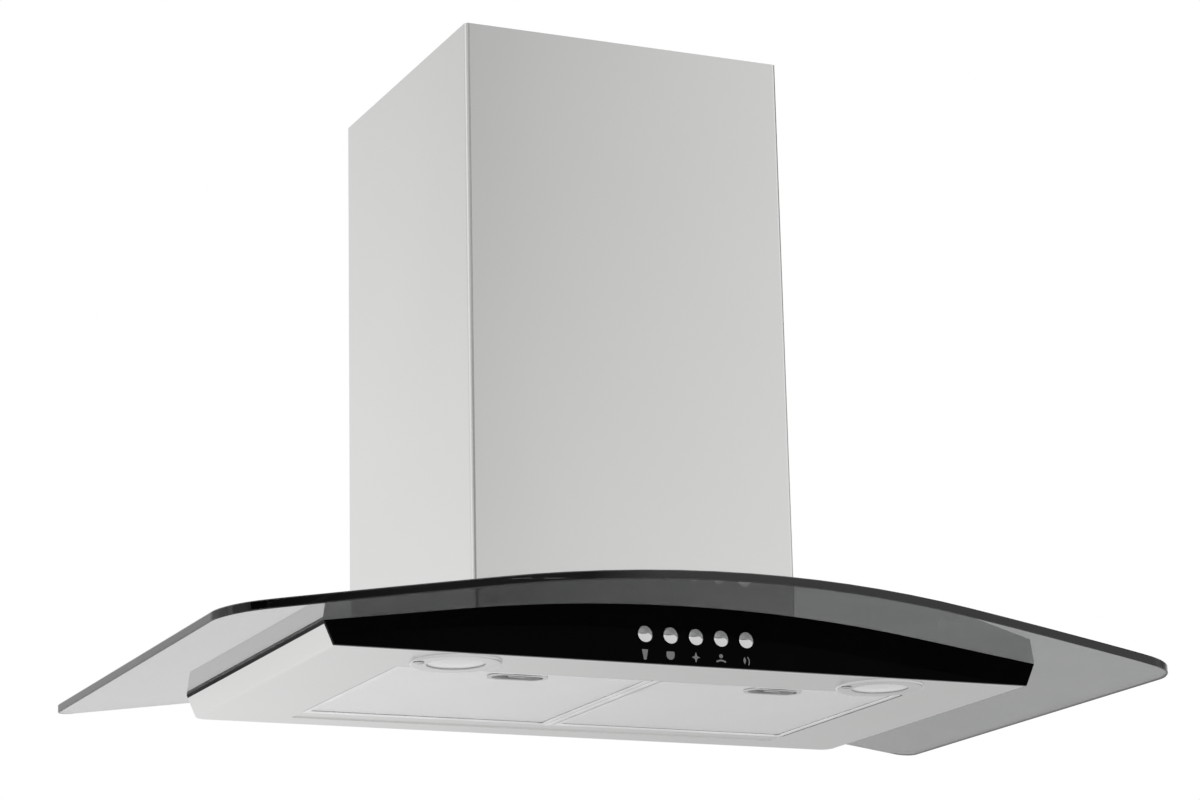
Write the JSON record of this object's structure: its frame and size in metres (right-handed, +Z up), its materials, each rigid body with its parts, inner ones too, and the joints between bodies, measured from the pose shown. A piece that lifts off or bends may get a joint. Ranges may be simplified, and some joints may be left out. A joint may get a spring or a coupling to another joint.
{
  "type": "wall-mounted range hood",
  "caption": "Wall-hung range hood with a curved tinted glass canopy, steel body with drop-down grease filters, round push buttons, a blower and a telescopic steel chimney.",
  "frame": {"origin": "middle of the four wall screw holes, on the wall plane", "axes": "+X to the right seen from the front, +Y into the wall, +Z up"},
  "size_m": [0.9, 0.541, 0.6157],
  "materials": {
    "steel_brushed": "brushed, satin",
    "steel_zinc": "galvanised",
    "steel_screw": "bright zinc",
    "glass_smoke": "smoke grey tint, polished edges",
    "glass_frosted": "frosted",
    "panel_black": "high gloss",
    "chrome_bright": "polished",
    "plastic_black": "fine grain",
    "plastic_grey": "fine grain",
    "aluminium_satin": "satin",
    "mesh_aluminium": "expanded mesh",
    "rubber_black": "matt",
    "motor_paint": "satin",
    "bush_bronze": "machined"
  },
  "bodies": {
    "hood": {"glass_canopy": "glass_smoke", "glass_seal": "rubber_black", "glass_washers": "rubber_black", "glass_screws": "chrome_bright", "underside_pan": "steel_brushed", "body_top_cover": "steel_zinc", "control_fascia": "panel_black", "switch_housing": "plastic_black", "lamp_screws": "steel_screw", "filter_divider": "steel_brushed", "filter_ledge": "steel_brushed", "blower_box": "steel_zinc", "blower_box_screws": "steel_screw", "scroll_housing": "steel_zinc", "scroll_screws": "steel_screw", "fan_motor": "motor_paint", "motor_bearings": "bush_bronze", "motor_bracket": "steel_zinc", "motor_screws": "steel_screw", "outlet_adapter": "plastic_grey", "adapter_screws": "steel_screw", "flap_pin": "steel_screw", "lower_chimney_cover": "steel_brushed", "terminal_box": "plastic_black", "cable_gland": "plastic_grey", "run_capacitor": "aluminium_satin", "capacitor_strap": "steel_zinc", "lamp_bezel_left": "chrome_bright", "lamp_lens_left": "glass_frosted", "lamp_body_left": "aluminium_satin", "hanging_plate_left": "steel_zinc", "inlet_ring_left": "steel_zinc", "lamp_bezel_right": "chrome_bright", "lamp_lens_right": "glass_frosted", "lamp_body_right": "aluminium_satin", "hanging_plate_right": "steel_zinc", "inlet_ring_right": "steel_zinc"},
    "upper_chimney": {"upper_chimney_cover": "steel_brushed", "chimney_wall_bracket": "steel_zinc"},
    "fan_wheel": {"impeller": "steel_zinc", "motor_shaft": "steel_screw"},
    "damper_front": {"damper_flap_front": "plastic_black"},
    "damper_rear": {"damper_flap_rear": "plastic_black"},
    "filter_left": {"filter_frame_left": "aluminium_satin", "filter_mesh_left": "mesh_aluminium", "latch_cup_left": "aluminium_satin"},
    "latch_left": {"latch_slider_left": "chrome_bright"},
    "filter_right": {"filter_frame_right": "aluminium_satin", "filter_mesh_right": "mesh_aluminium", "latch_cup_right": "aluminium_satin"},
    "latch_right": {"latch_slider_right": "chrome_bright"},
    "key_light": {"button_light": "chrome_bright"},
    "key_stop": {"button_stop": "chrome_bright"},
    "key_low": {"button_low": "chrome_bright"},
    "key_medium": {"button_medium": "chrome_bright"},
    "key_high": {"button_high": "chrome_bright"}
  },
  "joints": [
    {"name": "upper_chimney_slide", "type": "slide", "parent": "hood", "child": "upper_chimney", "axis": [0, 0, 1], "range_m": [0, 0.4]},
    {"name": "fan_spin", "type": "hinge", "parent": "hood", "child": "fan_wheel", "pos_m": [0, -0.135, -0.02], "axis": [1, 0, 0], "continuous": true},
    {"name": "damper_front_hinge", "type": "hinge", "parent": "hood", "child": "damper_front", "pos_m": [0, -0.18, 0.166], "axis": [-1, 0, 0], "range_deg": [0, 75]},
    {"name": "damper_rear_hinge", "type": "hinge", "parent": "hood", "child": "damper_rear", "pos_m": [0, -0.18, 0.166], "axis": [1, 0, 0], "range_deg": [0, 75]},
    {"name": "filter_left_drop", "type": "hinge", "parent": "hood", "child": "filter_left", "pos_m": [-0.125, -0.1075, -0.2185], "axis": [1, 0, 0], "range_deg": [0, 75]},
    {"name": "latch_left_slide", "type": "slide", "parent": "filter_left", "child": "latch_left", "axis": [0, 1, 0], "range_m": [0, 0.006], "stiffness_N_per_m": 300},
    {"name": "filter_right_drop", "type": "hinge", "parent": "hood", "child": "filter_right", "pos_m": [0.125, -0.1075, -0.2185], "axis": [1, 0, 0], "range_deg": [0, 75]},
    {"name": "latch_right_slide", "type": "slide", "parent": "filter_right", "child": "latch_right", "axis": [0, 1, 0], "range_m": [0, 0.006], "stiffness_N_per_m": 300},
    {"name": "button_light_press", "type": "slide", "parent": "hood", "child": "key_light", "axis": [0, 1, 0], "range_m": [0, 0.002], "stiffness_N_per_m": 500},
    {"name": "button_stop_press", "type": "slide", "parent": "hood", "child": "key_stop", "axis": [0, 1, 0], "range_m": [0, 0.002], "stiffness_N_per_m": 500},
    {"name": "button_low_press", "type": "slide", "parent": "hood", "child": "key_low", "axis": [0, 1, 0], "range_m": [0, 0.002], "stiffness_N_per_m": 500},
    {"name": "button_medium_press", "type": "slide", "parent": "hood", "child": "key_medium", "axis": [0, 1, 0], "range_m": [0, 0.002], "stiffness_N_per_m": 500},
    {"name": "button_high_press", "type": "slide", "parent": "hood", "child": "key_high", "axis": [0, 1, 0], "range_m": [0, 0.002], "stiffness_N_per_m": 500}
  ]
}
